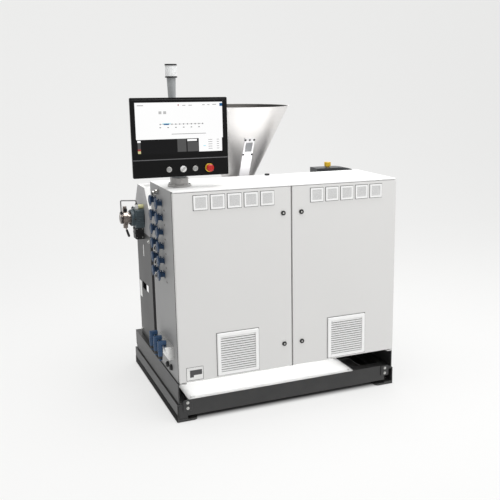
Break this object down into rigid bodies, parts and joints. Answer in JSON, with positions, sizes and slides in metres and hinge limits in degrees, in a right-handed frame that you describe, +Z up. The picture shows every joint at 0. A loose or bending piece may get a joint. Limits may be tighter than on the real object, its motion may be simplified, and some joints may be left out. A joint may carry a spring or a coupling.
{
  "type": "plastic extruder",
  "caption": "Compact plastic extruder with a two-door control cabinet, feed hopper, operator panel on a swivel and a die end, on a bolted base frame.",
  "frame": {"origin": "on the floor, midway between the four anchor holes", "axes": "+Z up, -Y towards the cabinet doors, -X towards the die end"},
  "size_m": [1.583, 1.203, 1.977],
  "materials": {
    "frame_black": "satin dark paint on rolled steel",
    "strip_rubber": "matt black rubber",
    "tray_steel": "bright stainless sheet",
    "cabinet_grey": "fine textured light grey powder coat",
    "roof_white": "fine textured pale powder coat",
    "zinc_steel": "zinc plated",
    "socket_blue": "moulded blue plastic",
    "gland_metal": "nickel plated and bare sheet",
    "pole_grey": "matt grey anodised",
    "lamp_clear": "clear lamp body with black rings",
    "column_grey": "satin dark grey paint",
    "guard_grey": "satin mid grey paint",
    "bare_steel": "machined steel",
    "block_blue_grey": "blue grey heater sheet",
    "sensor_yellow": "pale plastic cap",
    "terminal_black": "black moulded box",
    "housing_grey": "satin mid grey paint",
    "stainless": "brushed stainless sheet",
    "gearbox_dark": "dark grey enamel on cast iron",
    "breather_yellow": "yellow moulded cap",
    "filter_white": "white moulded plastic",
    "lock_black": "black die-cast lock",
    "panel_black": "black front frame",
    "screen_glass": "lit display",
    "button_grey": "grey push buttons",
    "stop_red": "red mushroom button"
  },
  "bodies": {
    "frame": {"base_rails": "frame_black", "base_beams": "frame_black", "foot_plates": "frame_black", "splice_plates": "frame_black", "frame_channels": "frame_black", "cross_members": "frame_black", "rubber_strips": "strip_rubber", "drip_tray": "tray_steel", "cabinet_side_walls": "cabinet_grey", "cabinet_back_wall": "cabinet_grey", "cabinet_floor": "cabinet_grey", "cabinet_post": "cabinet_grey", "cabinet_roof": "roof_white", "door_pivots": "zinc_steel", "wall_sockets": "socket_blue", "hanging_plugs": "socket_blue", "cable_glands": "gland_metal", "plug_box": "gland_metal", "panel_swivel_foot": "pole_grey", "signal_pole": "pole_grey", "signal_light": "lamp_clear", "end_column": "column_grey", "barrel_guard": "guard_grey", "barrel": "bare_steel", "outlet_flange": "bare_steel", "die_clamp": "bare_steel", "feed_section": "bare_steel", "die_block": "block_blue_grey", "melt_sensor": "sensor_yellow", "heater_terminal_box": "terminal_black", "cable_grommets": "terminal_black", "signal_light_rings": "terminal_black", "roof_plug": "terminal_black", "machine_housing": "housing_grey", "hopper": "stainless", "hopper_sight_strip": "stainless", "gearbox": "gearbox_dark", "gearbox_breather": "breather_yellow"},
    "left_door_leaf": {"left_door": "cabinet_grey", "left_fan_filter": "filter_white", "left_door_vents": "filter_white", "left_door_locks": "lock_black"},
    "right_door_leaf": {"right_door": "cabinet_grey", "right_fan_filter": "filter_white", "right_door_vents": "filter_white", "right_door_locks": "lock_black"},
    "operator_panel": {"panel_arm": "pole_grey", "panel_housing": "panel_black", "panel_screen": "screen_glass", "panel_buttons": "button_grey", "emergency_stop": "stop_red"}
  },
  "joints": [
    {"name": "left_door_hinge", "type": "hinge", "parent": "frame", "child": "left_door_leaf", "pos_m": [-0.673, -0.547, 0.77], "axis": [0, 0, -1], "range_deg": [0, 110]},
    {"name": "right_door_hinge", "type": "hinge", "parent": "frame", "child": "right_door_leaf", "pos_m": [0.673, -0.547, 0.77], "axis": [0, 0, 1], "range_deg": [0, 110]},
    {"name": "panel_swivel", "type": "hinge", "parent": "frame", "child": "operator_panel", "pos_m": [-0.585, -0.345, 1.37], "axis": [0, 0, 1], "range_deg": [-60, 60]}
  ]
}
